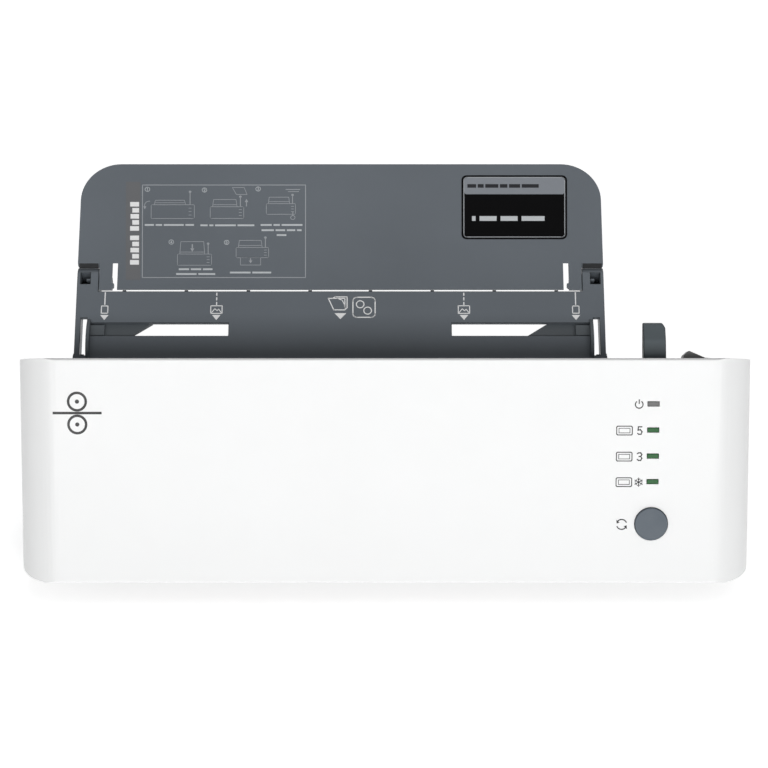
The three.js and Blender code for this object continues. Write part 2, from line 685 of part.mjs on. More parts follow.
function rockerPaddle() {
  const half = ROCKER_L / 2;
  const [run, drop] = ROCKER_END;
  const right = [[half, ROCKER_RISE - drop], [half - run, ROCKER_RISE, 0.8]];
  const left = [[-half + run, ROCKER_RISE, 0.8], [-half, ROCKER_RISE - drop]];
  const top = [...right, [0, ROCKER_RISE - ROCKER_DIP], ...left];
  const paddle = outline([[-half + 0.5, -2.5], [-3, -5.5], [3, -5.5], [half - 0.5, -2.5], ...top]);
  const swapped = flipped(paddle);
  const solid = slab('y', swapped, span(ROCKER_DOWN, ROCKER_W / 2));
  const turn = new THREE.Matrix4().makeRotationY(ROCKER_REST).setPosition(ROCKER_X, 0, ROCKER_AXIS_Z);
  return solidOf(geometryOf(solid).applyMatrix4(turn));
}

function rockerBody() {
  const x = (half) => span(ROCKER_X, half);
  const y = (half) => span(ROCKER_DOWN, half);
  const halfL = ROCKER_L / 2;
  const halfW = ROCKER_W / 2;
  const bezel = block(x(halfL + 2.2), y(halfW + 2.7), [GAP, 1]);
  const can = block(x(halfL + 0.6), y(halfW + 1), [-16, 0.5]);
  return bezel.add(can).subtract(block(x(halfL + 0.4), y(halfW + GAP), [-9.5, 5]));
}

add(deck, 'power_rocker', rockerPaddle(), 'black');
add(deck, 'rocker_switch_body', rockerBody(), 'black');

// ---- power board and cord inlet ---------------------------------------------

function cordGrommet() {
  const [x, z] = GROMMET;
  const inner = slab('y', circle(z, x, 8), [REAR_Y - WALL - GAP - 2, REAR_Y - WALL - GAP], 8);
  const neck = slab('y', circle(z, x, 6), [REAR_Y - WALL - 2, REAR_Y + 1], 8);
  const outer = slab('y', circle(z, x, 8), [REAR_Y + GAP, REAR_Y + 2.3], 8);
  return join(inner, neck, outer).subtract(slab('y', circle(z, x, 3.4), [REAR_Y - 20, REAR_Y + 20], 6));
}

add(laminator, 'cord_grommet', cordGrommet(), 'rubber');
add(laminator, 'power_board', block([149, 163], [45, 95], [10, 11.6]), 'board');

// ---- lower tray --------------------------------------------------------------

function lowerTray() {
  const z = [PANEL_BACK, PANEL_FRONT];
  const plate = block(span(0, TRAY_HALF_W), [PANEL_FOOT, PANEL_TOP], z);
  const sides = [-1, 1].map((side) => traySide(side));
  const windows = [-1, 1].map((side) => block(mirrored(WINDOW_X, side), WINDOW_Y, [0, 10]));
  const strips = [-1, 1].map((side) => block(mirrored(STRIP_X, side), STRIP_Y, [0, 10]));
  const bosses = [-40, 40].map((x) => slab('z', circle(x, 33.2, 3), [0.7, PANEL_BACK + 0.5], 5));
  return join(plate, ...sides, ...bosses, flapRibs()).subtract(join(...windows, ...strips));
}

// Small ribs along the panel's top edge that keep the flap's foot square to it.
function flapRibs() {
  const height = [PANEL_TOP - 1, PANEL_TOP + RIB_RISE];
  const depth = [PANEL_BACK + GAP, PANEL_FRONT - GAP];
  const places = [...RIB_X, ...RIB_X.map((x) => -x)];
  return join(...places.map((x) => block(span(x, RIB_W / 2), height, depth)));
}

// Arm at one side: cheek, front skin, round boss with the flap pin's bore and a pocket.
function traySide(side) {
  const armX = mirrored([ARM_INNER, TRAY_HALF_W], side);
  const cheekX = mirrored([128.3, TRAY_HALF_W], side);
  const cheek = outline([[PANEL_FOOT, PANEL_BACK], [-2, -4, 3], [FLAP_PIVOT_Y - 4, -4],
    [FLAP_PIVOT_Y, PANEL_FRONT], [PANEL_FOOT, PANEL_FRONT]]);
  const pivot = [FLAP_PIVOT_Y, FLAP_PIVOT_Z];
  const skin = block(armX, [PANEL_TOP - 3, FLAP_PIVOT_Y], [PANEL_BACK, PANEL_FRONT]);
  const ear = rod(mirrored([126.6, EAR_OUTER], side), [0, 0], EAR_R, 6)
    .subtract(block([-200, 200], [-20, 20], [PANEL_FRONT, 20]));
  const pocket = block(mirrored(POCKET_X, side), POCKET_Y, [-7, 20]);
  const ribX = mirrored([POCKET_X[0] - 0.5, POCKET_X[1] - 2.6], side);
  const pocketRib = block(ribX, span(44.6, 0.7), [-7.5, 3.6]);
  const boss = rod(armX, pivot, ARM_BOSS_R, 9).subtract(block([-200, 200], [20, 70], [PANEL_FRONT, 20]));
  return join(slab('x', cheek, cheekX), skin, boss, ear)
    .subtract(pocket)
    .add(pocketRib)
    .subtract(rod(mirrored([115, POCKET_X[0] - 1.4], side), pivot, FLAP_PIN_R + GAP, 5))
    .subtract(rod(mirrored([120, 140], side), [0, 0], TRAY_PIN_R + GAP, 5));
}

add(tray, 'lower_tray', lowerTray(), 'tray');
['left', 'right'].forEach((name, i) => {
  const side = 2 * i - 1;
  add(tray, `tray_pin_${name}`, rod(mirrored([127, 135.6], side), [0, 0], TRAY_PIN_R, 5), 'steel');
});

// ---- paper guides ------------------------------------------------------------

const RACK_PITCH = Math.PI * GEAR_MODULE;

// Rack teeth along X; base is the outline's far edge, up is +1 for teeth towards +Y.
function rack(x0, x1, pitchY, up, offset) {
  const points = [];
  const first = Math.ceil((x0 + 2 - offset) / RACK_PITCH);
  const last = Math.floor((x1 - 2 - offset) / RACK_PITCH);
  for (let i = first; i <= last; i += 1) {
    const x = offset + i * RACK_PITCH;
    const low = pitchY - up * 1.2;
    const high = pitchY + up * 0.8;
    points.push([x - 1, low], [x - 0.35, high], [x + 0.35, high], [x + 1, low]);
  }
  const root = pitchY - up * 1.2;
  const back = pitchY - up * 4.5;
  return outline([[x0, root], ...points, [x1, root], [x1, back], [x0, back]]);
}

function guide(side) {
  const pitchR = GEAR_MODULE * PINION_TEETH / 2;
  const rackUp = side;
  const pitchY = PINION_Y - side * pitchR;
  const back = pitchY - rackUp * 4.5;
  const rackX = mirrored([-10, 106], side);
  const z = GUIDE_Z;
  const teeth = slab('z', rack(...rackX, pitchY, rackUp, 0.5 * RACK_PITCH), z);
  const middle = BLADE_END_X[side < 0 ? 0 : 1];
  const outer = FENCE_X[1] * side;
  const blade = slab('z', outline([[middle - BLADE_SLANT, BLADE_Y[0]], [middle + BLADE_SLANT, BLADE_Y[1]],
    [outer, BLADE_Y[1]], [outer, BLADE_Y[0]]]), z);
  const web = block(mirrored([103, 106], side), [Math.min(back, 14), Math.max(back, 18)], z);
  const postY = [WINDOW_Y[0] + 0.4, WINDOW_Y[1] - 1.2];
  const post = block(mirrored([116.3, FENCE_X[1]], side), postY, [z[0] + 0.1, PANEL_FRONT - 0.2]);
  return join(teeth, blade, web, post, fence(side, postY));
}

// Upright edge that the pouch runs along, its crest a shallow arc.
function fence(side, postY) {
  const x = mirrored(FENCE_X, side);
  const foot = PANEL_FRONT + GAP;
  const half = (FENCE_Y[1] - FENCE_Y[0]) / 2;
  const sagitta = FENCE_TOP - foot - 0.6;
  const crestR = (half * half + sagitta * sagitta) / (2 * sagitta);
  const crest = rod(x, [FENCE_Y[0] + half, FENCE_TOP - crestR], crestR, 24);
  const blank = block(x, FENCE_Y, [foot, FENCE_TOP + 1]);
  return blank.intersect(crest).add(block(x, postY, [GUIDE_Z[0] + 0.1, foot + 1]));
}

function guidePinion() {
  return slab('z', gearShape(PINION_TEETH, [0, PINION_Y], 0), GUIDE_Z)
    .subtract(slab('z', circle(0, PINION_Y, 2.8), [-5, 5], 5));
}

function rackCover() {
  const plate = slab('z', outline([[-COVER_HALF_W, -1, 3], [COVER_HALF_W, -1, 3], [COVER_HALF_W, 36.4, 3],
    [-COVER_HALF_W, 36.4, 3]]), [-1.2, 0.4]);
  const stub = slab('z', circle(0, PINION_Y, 2.5), [0.3, GUIDE_Z[1]], 5);
  const holes = [-40, 40].map((x) => slab('z', circle(x, 33.2, 1.6), [-5, 5], 4));
  return plate.add(stub).subtract(join(...holes));
}

function coverScrew(x) {
  const head = slab('z', circle(x, 33.2, 2.8), [-2.9, -1.5], 4);
  const shank = slab('z', circle(x, 33.2, 1.2), [-2, 0.4], 4);
  return head.add(shank);
}

add(tray, 'guide_left', guide(-1), 'guide');
add(tray, 'guide_right', guide(1), 'guide');
add(tray, 'guide_pinion', guidePinion(), 'nylon');
add(tray, 'rack_cover', rackCover(), 'black');
add(tray, 'rack_cover_screw_1', coverScrew(-40), 'steel');
add(tray, 'rack_cover_screw_2', coverScrew(40), 'steel');

// ---- tray flap -----------------------------------------------------------------

function trayFlap() {
  const halfW = TRAY_HALF_W;
  const inner = ARM_INNER - GAP;
  const shape = outline([[-inner, FLAP_FOOT], [inner, FLAP_FOOT], [inner, FLAP_SHOULDER],
    [halfW, FLAP_SHOULDER, 1], [halfW, FLAP_TOP, FLAP_CORNER_R], [-halfW, FLAP_TOP, FLAP_CORNER_R],
    [-halfW, FLAP_SHOULDER, 1], [-inner, FLAP_SHOULDER]]);
  const front = PANEL_FRONT - FLAP_PIVOT_Z;
  const back = front - PANEL_T;
  const plate = slab('z', shape, [back, front], 8);
  const fingers = [-1, 1].map((side) => fingerBoss(side, back));
  const slots = [-1, 1].map((side) => fingerSlot(side, back, front));
  const barbs = [-1, 1].map((side) => fingerBarb(side, back, front));
  const shoulders = [-1, 1].map((side) => shoulderChamfer(side, back, front));
  const cuts = join(...slots, ...shoulders, footChamfer(back, front));
  return join(plate, ...fingers).subtract(cuts).add(join(...barbs));
}

// The shoulder's underside rises to the front and leaves a lip behind that shades the arm's crown.
function shoulderChamfer(side, back, front) {
  const wedge = outline([[FLAP_SHOULDER - 1, back], [FLAP_SHOULDER, back],
    [FLAP_SHOULDER + SHOULDER_RISE, front], [FLAP_SHOULDER + SHOULDER_RISE, front + 1],
    [FLAP_SHOULDER - 1, front + 1]]);
  return slab('x', wedge, mirrored([ARM_INNER - GAP, TRAY_HALF_W + 1], side));
}

// The flap's foot is cut at a slope, higher at the back, to clear the panel as it turns.
function footChamfer(back, front) {
  const drop = FLAP_FOOT - 2;
  const rise = FLAP_FOOT + (front - back + 1) * EDGE_SLOPE;
  const wedge = outline([[FLAP_FOOT, front], [drop, front], [drop, back - 1], [rise, back - 1]]);
  return slab('x', wedge, [-200, 200]);
}

// Slot beside a finger, its top end sloped like the foot.
function fingerSlot(side, back, front) {
  const low = FLAP_FOOT - 3;
  const rise = FLAP_SLOT_TOP + (front - back + 1) * EDGE_SLOPE;
  const profile = outline([[low, front + 1], [FLAP_SLOT_TOP, front + 1], [FLAP_SLOT_TOP, front],
    [rise, back - 1], [rise, -20], [low, -20]]);
  return slab('x', profile, mirrored(FLAP_SLOT_X, side));
}

// Barb near the finger's foot, where the finger snaps past its arm.
function fingerBarb(side, back, front) {
  const [, outer] = FLAP_SLOT_X;
  const points = [[outer + 0.3, -2.7], [outer - 1.1, -3], [outer - 1.1, -4.6], [outer + 0.3, -5.6]];
  return slab('z', outline(points.map(([x, y]) => [side * x, y])), [back + GAP, front]);
}

// Springy finger with the lug that carries the flap's pin.
function fingerBoss(side, back) {
  const x = mirrored([114.2, ARM_INNER - GAP], side);
  const lug = outline([[-FINGER_R, back + 1], [-FINGER_R, 0], [FINGER_R, 0], [FINGER_R, back + 1]]);
  return slab('x', lug, x).add(rod(x, [0, 0], FINGER_R, 6))
    .subtract(rod(mirrored([112, 122], side), [0, 0], FLAP_PIN_R + GAP, 5));
}

add(flap, 'tray_flap', trayFlap(), 'tray');
['left', 'right'].forEach((name, i) => {
  const x = mirrored([115.2, POCKET_X[0] - 1.8], 2 * i - 1);
  add(flap, `flap_pin_${name}`, rod(x, [0, 0], FLAP_PIN_R, 5), 'steel');
});

// ---- base screws ---------------------------------------------------------------

function baseScrew(x, y) {
  return slab('z', circle(x, y, 3), [BASE_Z[0] - 2.2, BASE_Z[0] - GAP], 5);
}

[-120, 120].forEach((x, i) => add(laminator, `base_screw_${i + 1}`, baseScrew(x, 60), 'steel'));

// Origin: the middle of the footprint, on the surface that the feet stand on.
laminator.updateMatrixWorld(true);
const bounds = new THREE.Box3().setFromObject(laminator, true);
const middle = bounds.getCenter(new THREE.Vector3());
laminator.position.set(-middle.x, -middle.y, -bounds.min.z);

export default laminator;
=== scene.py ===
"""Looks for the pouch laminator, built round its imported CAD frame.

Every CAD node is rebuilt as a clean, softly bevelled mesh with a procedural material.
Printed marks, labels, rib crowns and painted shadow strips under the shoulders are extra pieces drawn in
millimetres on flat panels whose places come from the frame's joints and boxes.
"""
import json
import math

import bmesh
import bpy
from mathutils import Matrix, Vector


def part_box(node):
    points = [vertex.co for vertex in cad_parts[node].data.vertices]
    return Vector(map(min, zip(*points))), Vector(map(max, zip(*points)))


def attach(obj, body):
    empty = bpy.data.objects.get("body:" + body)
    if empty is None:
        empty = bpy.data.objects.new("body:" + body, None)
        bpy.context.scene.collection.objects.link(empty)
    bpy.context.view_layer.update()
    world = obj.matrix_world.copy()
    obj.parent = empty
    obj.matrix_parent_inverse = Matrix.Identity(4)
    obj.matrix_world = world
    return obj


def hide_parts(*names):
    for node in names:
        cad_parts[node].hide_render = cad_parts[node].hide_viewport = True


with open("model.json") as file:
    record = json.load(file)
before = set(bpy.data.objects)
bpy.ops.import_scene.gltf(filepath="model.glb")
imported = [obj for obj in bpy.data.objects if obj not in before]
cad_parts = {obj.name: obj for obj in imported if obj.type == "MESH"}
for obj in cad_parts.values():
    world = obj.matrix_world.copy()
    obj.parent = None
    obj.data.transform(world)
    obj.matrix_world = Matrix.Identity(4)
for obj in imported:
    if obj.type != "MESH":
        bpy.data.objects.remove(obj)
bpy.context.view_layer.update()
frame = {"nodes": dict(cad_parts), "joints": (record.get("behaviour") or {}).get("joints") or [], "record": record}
MM = 0.001
JOINTS = {joint["name"]: joint for joint in frame["joints"]}
BODY_OF = {node: body for body, nodes in frame["record"]["behaviour"]["bodies"].items() for node in nodes}
SLOT_OF = {row["node"]: row["material_slot"] for row in frame["record"]["subparts"]}


# ---- panels: flat places to draw on ----------------------------------------

class Panel:
    """A plane with X to the right and Y up along it; drawn sizes are in millimetres."""

    def __init__(self, origin, normal, body):
        out = Vector(normal).normalized()
        right = Vector((1, 0, 0))
        up = out.cross(right)
        self.matrix = Matrix((right, up, out)).transposed().to_4x4()
        self.matrix.translation = Vector(origin)
        self.body = body

    def at(self, x, y, z=0.0):
        return self.matrix @ Vector((x * MM, y * MM, z * MM))


def furthest(node, direction):
    """How far a node reaches along a direction."""
    return max(v.co.dot(direction) for v in frame["nodes"][node].data.vertices)


def face_panel():
    """The white face: origin at its left end, level with the ridge."""
    out = -Vector(JOINTS["button_press"]["axis"])
    up = out.cross(Vector((1, 0, 0)))
    ridge = out * furthest("front_cover", out) + up * furthest("front_cover", up)
    ridge.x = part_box("front_cover")[0].x
    return Panel(ridge, out, "body")


def tray_panel():
    """The front surface of the tray, straight above its hinge axis."""
    out = Vector(JOINTS["guide_pinion_turn"]["axis"])
    hinge = Vector(JOINTS["tray_fold"]["pos_m"])
    lift = furthest("tray_flap", out) - hinge.dot(out)
    return Panel(hinge + out * lift, out, "lower_tray_body")


FACE = face_panel()
TRAY = tray_panel()
FLAP = Panel(TRAY.matrix.translation, TRAY.matrix.col[2].to_3d(), "flap_body")
BODY_W = (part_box("front_cover")[1].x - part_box("front_cover")[0].x) / MM


# ---- camera -----------------------------------------------------------------

CAMERA_ELEVATION = math.radians(25)
CAMERA_DISTANCE = 1.25
CAMERA_LENS = 124.2
AIM_BELOW_RIDGE = 0.0120
CAMERA_LEFT = 0.0005


def add_camera():
    ahead = Vector((0, math.cos(CAMERA_ELEVATION), -math.sin(CAMERA_ELEVATION)))
    up = Vector((0, math.sin(CAMERA_ELEVATION), math.cos(CAMERA_ELEVATION)))
    ridge = FACE.at(BODY_W / 2, 0)
    data = bpy.data.cameras.new("camera")
    data.lens = CAMERA_LENS
    data.sensor_width = 36
    data.clip_start = 0.05
    camera = bpy.data.objects.new("camera", data)
    camera.matrix_world = Matrix((Vector((1, 0, 0)), up, -ahead)).transposed().to_4x4()
    camera.location = ridge - ahead * CAMERA_DISTANCE - up * AIM_BELOW_RIDGE
    camera.location.x -= CAMERA_LEFT
    bpy.context.scene.collection.objects.link(camera)
    bpy.context.scene.camera = camera


# ---- materials ----------------------------------------------------------------

def node_tree(name):
    made = bpy.data.materials.new(name)
    made.use_nodes = True
    tree = made.node_tree
    shader = tree.nodes["Principled BSDF"]
    place = tree.nodes.new("ShaderNodeTexCoord")
    return made, tree, shader, place


def noise(tree, place, scale, detail=2.0, stretch=(1, 1, 1)):
    mapping = tree.nodes.new("ShaderNodeMapping")
    mapping.inputs["Scale"].default_value = stretch
    texture = tree.nodes.new("ShaderNodeTexNoise")
    texture.inputs["Scale"].default_value = scale
    texture.inputs["Detail"].default_value = detail
    tree.links.new(place.outputs["Object"], mapping.inputs["Vector"])
    tree.links.new(mapping.outputs["Vector"], texture.inputs["Vector"])
    return texture.outputs["Fac"]


NOISE_LOW = 0.3
NOISE_HIGH = 0.7


def spread(tree, value, low, high):
    """Maps the usual reach of a noise onto low to high."""
    node = tree.nodes.new("ShaderNodeMapRange")
    node.inputs["From Min"].default_value = NOISE_LOW
    node.inputs["From Max"].default_value = NOISE_HIGH
    node.inputs["To Min"].default_value = low
    node.inputs["To Max"].default_value = high
    tree.links.new(value, node.inputs["Value"])
    return node.outputs["Result"]


def tint(tree, value, dark, light):
    ramp = tree.nodes.new("ShaderNodeValToRGB")
    ramp.color_ramp.elements[0].position = NOISE_LOW
    ramp.color_ramp.elements[1].position = NOISE_HIGH
    ramp.color_ramp.elements[0].color = (*dark, 1)
    ramp.color_ramp.elements[1].color = (*light, 1)
    tree.links.new(value, ramp.inputs["Fac"])
    return ramp.outputs["Color"]


def bump(tree, height, strength, distance):
    node = tree.nodes.new("ShaderNodeBump")
    node.inputs["Strength"].default_value = strength
    node.inputs["Distance"].default_value = distance
    tree.links.new(height, node.inputs["Height"])
    return node.outputs["Normal"]


def shade(colour, factor):
    return tuple(min(1.0, channel * factor) for channel in colour)


def moulded(name, colour, rough, grain=1800, grain_depth=0.00004, variation=0.05, rough_range=0.06):
    """Injection-moulded plastic: faint mottling, spark-eroded grain, uneven gloss."""
    made, tree, shader, place = node_tree(name)
    mottle = noise(tree, place, 14, 4)
    fine = noise(tree, place, grain, 3)
    shade_low = shade(colour, 1 - variation)
    shade_high = shade(colour, 1 + variation)
    tree.links.new(tint(tree, mottle, shade_low, shade_high), shader.inputs["Base Color"])
    gloss = spread(tree, noise(tree, place, 160, 3), rough - rough_range, rough + rough_range)
    tree.links.new(gloss, shader.inputs["Roughness"])
    tree.links.new(bump(tree, fine, 0.35, grain_depth), shader.inputs["Normal"])
    shader.inputs["Specular IOR Level"].default_value = 0.45
    return made, shader


def plastic(name, colour, rough):
    made, shader = moulded(name, colour, rough)
    return made


def glossy(name, colour, rough, coat):
    """Polished moulding with a faint ripple under the gloss."""
    made, shader = moulded(name, colour, rough, 420, 0.00001, 0.008, 0.03)
    shader.inputs["Coat Weight"].default_value = coat
    shader.inputs["Coat Roughness"].default_value = 0.12
    return made


def metal(name, colour, rough, stretch):
    """Rolled or drawn metal with brush marks along one axis."""
    made, tree, shader, place = node_tree(name)
    marks = noise(tree, place, 900, 4, stretch)
    tree.links.new(tint(tree, marks, shade(colour, 0.86), shade(colour, 1.08)), shader.inputs["Base Color"])
    tree.links.new(spread(tree, marks, rough - 0.08, rough + 0.1), shader.inputs["Roughness"])
    tree.links.new(bump(tree, marks, 0.2, 0.00002), shader.inputs["Normal"])
    shader.inputs["Metallic"].default_value = 1.0
    return made


def rubbery(name, colour, rough):
    made, shader = moulded(name, colour, rough, 2600, 0.00005, 0.1, 0.05)
    shader.inputs["Specular IOR Level"].default_value = 0.25
    return made


def lens(name, colour):
    """Tinted lamp window, slightly cloudy."""
    made, shader = moulded(name, colour, 0.42, 700, 0.00001, 0.06, 0.04)
    shader.inputs["Specular IOR Level"].default_value = 0.2
    shader.inputs["Coat Weight"].default_value = 0.05
    shader.inputs["Coat Roughness"].default_value = 0.2
    return made


def circuit(name, colour):
    """Solder resist with darker tracks under it."""
    made, tree, shader, place = node_tree(name)
    tracks = tree.nodes.new("ShaderNodeTexBrick")
    tracks.inputs["Scale"].default_value = 260
    tracks.inputs["Color1"].default_value = (*colour, 1)
    tracks.inputs["Color2"].default_value = (*shade(colour, 0.8), 1)
    tracks.inputs["Mortar"].default_value = (*shade(colour, 1.5), 1)
    tracks.inputs["Mortar Size"].default_value = 0.03
    tree.links.new(place.outputs["Object"], tracks.inputs["Vector"])
    tree.links.new(tracks.outputs["Color"], shader.inputs["Base Color"])
    tree.links.new(spread(tree, noise(tree, place, 300), 0.3, 0.45), shader.inputs["Roughness"])
    return made


def ink(name, colour, rough=0.5, shine=0.4):
    """Screen-printed ink, a little uneven in cover."""
    made, shader = moulded(name, colour, rough, 3200, 0.00001, 0.04, 0.08)
    shader.inputs["Specular IOR Level"].default_value = shine
    return made


MATERIALS = {
    "white_shell": glossy("white_shell", (0.785, 0.79, 0.79), 0.36, 0.1),
    "dark_shell": plastic("dark_shell", (0.148, 0.168, 0.19), 0.5),
    "tray_plastic": plastic("tray_plastic", (0.148, 0.168, 0.19), 0.46),
    "guide_plastic": plastic("guide_plastic", (0.125, 0.142, 0.155), 0.46),
    "black_plastic": plastic("black_plastic", (0.035, 0.036, 0.038), 0.45),
    "foot_rubber": rubbery("foot_rubber", (0.016, 0.016, 0.017), 0.85),
    "roller_silicone": rubbery("roller_silicone", (0.36, 0.06, 0.035), 0.55),
    "bright_steel": metal("bright_steel", (0.55, 0.57, 0.58), 0.32, (0.02, 1, 1)),
    "heater_aluminium": metal("heater_aluminium", (0.7, 0.71, 0.73), 0.36, (0.02, 1, 1)),
    "nylon": plastic("nylon", (0.72, 0.7, 0.62), 0.42),
    "green_lens": lens("green_lens", (0.022, 0.11, 0.032)),
    "grey_lens": lens("grey_lens", (0.15, 0.15, 0.15)),
    "circuit_board": circuit("circuit_board", (0.02, 0.1, 0.04)),
    "ceramic_body": plastic("ceramic_body", (0.68, 0.64, 0.55), 0.6),
}
# Single pieces that are a shade away from their slot's material.
OVERRIDES = {
    "setting_button": plastic("button_grey", (0.08, 0.1, 0.122), 0.5),
    # Painted light: the rocker's own grey is lightened to make up for its facet facing away from the lamps.
    "power_rocker": plastic("rocker_grey_painted_light", (0.27, 0.27, 0.271), 0.5),
    # Painted shade: the lever's own grey is darkened to stand in for the shade the front ridge throws on it.
    "release_lever": plastic("lever_grey_painted_shade", (0.094, 0.114, 0.126), 0.5),
}
# Painted shade: the rounded edges of these pieces get a darker plastic than their faces.
EDGE_PAINTED_SHADE = plastic("edge_painted_shade", (0.06, 0.07, 0.078), 0.55)
SHADE_PAINTED_EDGES = ("lower_tray", "release_lever")
BLACK_INK = ink("black_ink", (0.012, 0.012, 0.013), 0.4)
WHITE_INK = ink("white_ink", (0.98, 0.98, 0.98))
CAPTION_INK = ink("caption_ink", (0.6, 0.63, 0.65))
FINE_INK = ink("fine_ink", (0.41, 0.43, 0.455))
LABEL_BLACK = ink("label_black", (0.003, 0.003, 0.0035), 0.4, 0.08)
LABEL_GREY = ink("label_grey", (0.26, 0.28, 0.31), 0.4)
LABEL_DARK = ink("label_dark", (0.035, 0.036, 0.04), 0.4, 0.1)
TITLE_INK = ink("title_ink", (0.164, 0.168, 0.176))


# ---- meshes ---------------------------------------------------------------------

def link(name, mesh, material, body):
    piece = bpy.data.objects.new(name, mesh)
    bpy.context.scene.collection.objects.link(piece)
    mesh.materials.clear()
    mesh.materials.append(material)
    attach(piece, body)
    return piece


def smooth(mesh, angle):
    for polygon in mesh.polygons:
        polygon.use_smooth = True
    mesh.set_sharp_from_angle(angle=math.radians(angle))


WELD = 0.00002
FLAT_ANGLE = math.radians(0.8)
HARD_ANGLE = math.radians(28)
SMOOTH_ANGLE = 40
ONWARD = 0.75
ROOM = 2.1


def has_room(edge, width):
    """True where no short edge across an end of this one would be overrun by a bevel."""
    for end in edge.verts:
        along = (edge.other_vert(end).co - end.co).normalized()
        for other in end.link_edges:
            across = (other.other_vert(end).co - end.co).normalized()
            crosses = other is not edge and abs(along.dot(across)) < ONWARD
            if crosses and other.calc_length() < ROOM * width:
                return False
    return True


def bevelled(bm, width, segments, clamped):
    """Rounds the hard edges and gives back the places of the new faces."""
    hard = [edge for edge in bm.edges if len(edge.link_faces) == 2
            and edge.calc_face_angle(0) > HARD_ANGLE and has_room(edge, width)]
    made = bmesh.ops.bevel(bm, geom=hard, offset=width, offset_type="OFFSET", segments=segments,
                           profile=0.5, affect="EDGES", clamp_overlap=clamped)
    bm.faces.index_update()
    return [face.index for face in made["faces"]]


def refined(node, bevel, segments):
    """A welded copy of a CAD node with its hard edges rounded; bevel is in millimetres."""
    bm = bmesh.new()
    bm.from_mesh(frame["nodes"][node].data)
    bmesh.ops.remove_doubles(bm, verts=bm.verts, dist=WELD)
    bmesh.ops.dissolve_limit(bm, angle_limit=FLAT_ANGLE, verts=bm.verts, edges=bm.edges)
    rounds = bevelled(bm, bevel * MM, segments, node not in BEVELS)
    mesh = bpy.data.meshes.new(node + "_skin")
    bm.to_mesh(mesh)
    bm.free()
    smooth(mesh, SMOOTH_ANGLE)
    slot = SLOT_OF[node]
    piece = link(node + "_skin", mesh, OVERRIDES.get(node, MATERIALS[slot]), BODY_OF[node])
    # Painted shade: the rounded edge faces take the darker plastic in a second slot.
    if node in SHADE_PAINTED_EDGES:
        mesh.materials.append(EDGE_PAINTED_SHADE)
        for index in rounds:
            mesh.polygons[index].material_index = 1
    weighted = piece.modifiers.new("weighted", "WEIGHTED_NORMAL")
    weighted.keep_sharp = True
    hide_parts(node)


BEVELS = {
    "rear_cover": 0.5, "base_tray": 0.5, "lower_tray": 0.25, "guide_left": 0.25, "guide_right": 0.25,
    "release_lever": 0.5, "power_rocker": 0.3, "rocker_switch_body": 0.3, "setting_button": 0.45,
    "cord_grommet": 0.4, "exit_guide": 0.3,
}
PLAIN_BEVEL = 0.12


def rebuild_nodes():
    for node in frame["nodes"]:
        refined(node, BEVELS.get(node, PLAIN_BEVEL), 3 if node in BEVELS else 1)


# ---- flat drawing ------------------------------------------------------------------

def rectangle(x0, y0, x1, y1):
    return [(x0, y0), (x1, y0), (x1, y1), (x0, y1)]


def rounded(x0, y0, x1, y1, r, steps=6):
    corners = [(x1 - r, y1 - r, 0), (x0 + r, y1 - r, 90), (x0 + r, y0 + r, 180), (x1 - r, y0 + r, 270)]
    points = []
    for cx, cy, start in corners:
        for i in range(steps + 1):
            angle = math.radians(start + 90 * i / steps)
            points.append((cx + r * math.cos(angle), cy + r * math.sin(angle)))
    return points


def disc(cx, cy, r, steps=24):
    turn = 2 * math.pi / steps
    return [(cx + r * math.cos(i * turn), cy + r * math.sin(i * turn)) for i in range(steps)]


def stroke(x0, y0, x1, y1, width):
    along = Vector((x1 - x0, y1 - y0)).normalized() * width / 2
    side = Vector((-along.y, along.x))
    a, b = Vector((x0, y0)) - along, Vector((x1, y1)) + along
    return [tuple(a + side), tuple(a - side), tuple(b - side), tuple(b + side)]


def polyline(points, width, closed=False):
    ends = points[1:] + points[:1] if closed else points[1:]
    return [stroke(*a, *b, width) for a, b in zip(points, ends)]


def arc(cx, cy, r, start, end, width, steps=20):
    """A bent band from one angle to another, in degrees."""
    angles = [math.radians(start + (end - start) * i / steps) for i in range(steps + 1)]
    outer = [(cx + (r + width / 2) * math.cos(a), cy + (r + width / 2) * math.sin(a)) for a in angles]
    inner = [(cx + (r - width / 2) * math.cos(a), cy + (r - width / 2) * math.sin(a)) for a in angles]
    return [[outer[i], outer[i + 1], inner[i + 1], inner[i]] for i in range(steps)]


def frame_lines(x0, y0, x1, y1, width, r=0.0):
    if r == 0:
        return polyline(rectangle(x0, y0, x1, y1), width, closed=True)
    return polyline(rounded(x0, y0, x1, y1, r), width, closed=True)


def add_prism(bm, panel, outline, low, high):
    """A closed flat solid over an outline, from low to high above the panel."""
    area = sum(ax * by - bx * ay for (ax, ay), (bx, by) in zip(outline, outline[1:] + outline[:1]))
    points = outline if area > 0 else outline[::-1]
    bottom = [bm.verts.new(panel.at(x, y, low)) for x, y in points]
    top = [bm.verts.new(panel.at(x, y, high)) for x, y in points]
    bm.faces.new(bottom[::-1])
    bm.faces.new(top)
    for i in range(len(points)):
        j = (i + 1) % len(points)
        bm.faces.new((bottom[i], bottom[j], top[j], top[i]))


def printed(name, panel, outlines, material, slot, low=-0.02, high=0.05):
    """One piece made of thin flat solids that lie on a panel and ride with its body."""
    bm = bmesh.new()
    for outline in outlines:
        add_prism(bm, panel, outline, low, high)
    mesh = bpy.data.meshes.new(name)
    bm.to_mesh(mesh)
    bm.free()
    smooth(mesh, 35)
    link(name, mesh, material, panel.body)


# ---- marks on the face -----------------------------------------------------------------

